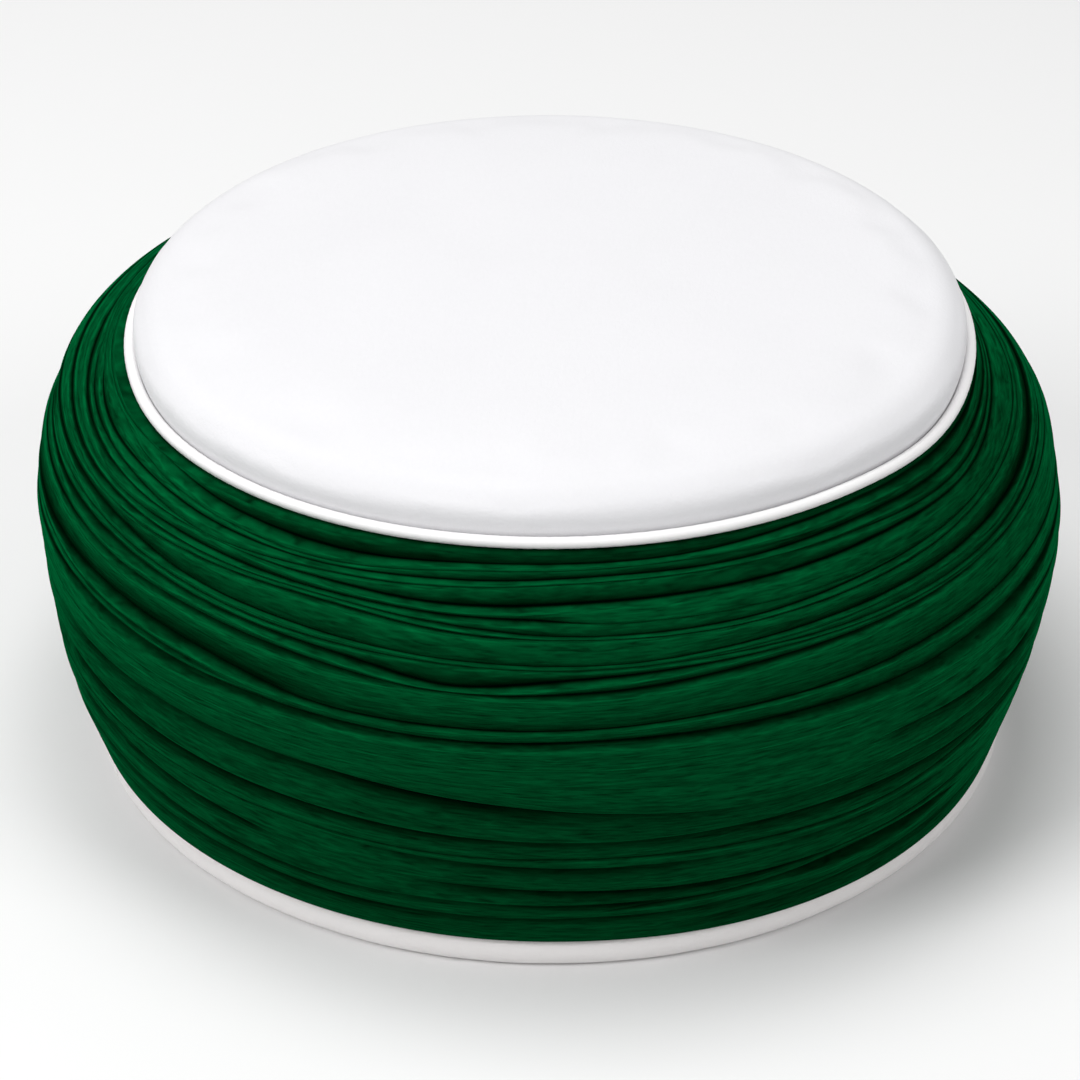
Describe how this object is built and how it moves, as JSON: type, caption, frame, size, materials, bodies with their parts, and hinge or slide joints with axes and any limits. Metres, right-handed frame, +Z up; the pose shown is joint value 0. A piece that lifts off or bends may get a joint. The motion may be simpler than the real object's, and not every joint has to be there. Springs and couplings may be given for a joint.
{
  "type": "wound turban cap",
  "caption": "Round padded cap with a pleated sash wound round its side, a flat piped crown and a rolled rim, open underneath for the head.",
  "frame": {"origin": "on the surface the hat stands on, under the middle of its round rim", "axes": "+Z up through the crown, -Y towards the front as pictured, +X to its right side in that view"},
  "size_m": [0.2186, 0.2184, 0.1072],
  "materials": {
    "crown_cloth": "fine brushed cloth",
    "piping_satin": "satin",
    "sash_crepe": "crepe",
    "wall_felt": "felt",
    "rim_cloth": "soft brushed cloth"
  },
  "bodies": {
    "root": {"crown_pad": "crown_cloth", "crown_piping": "piping_satin", "wound_sash": "sash_crepe", "cap_wall": "wall_felt", "rim_roll": "rim_cloth"}
  },
  "joints": []
}
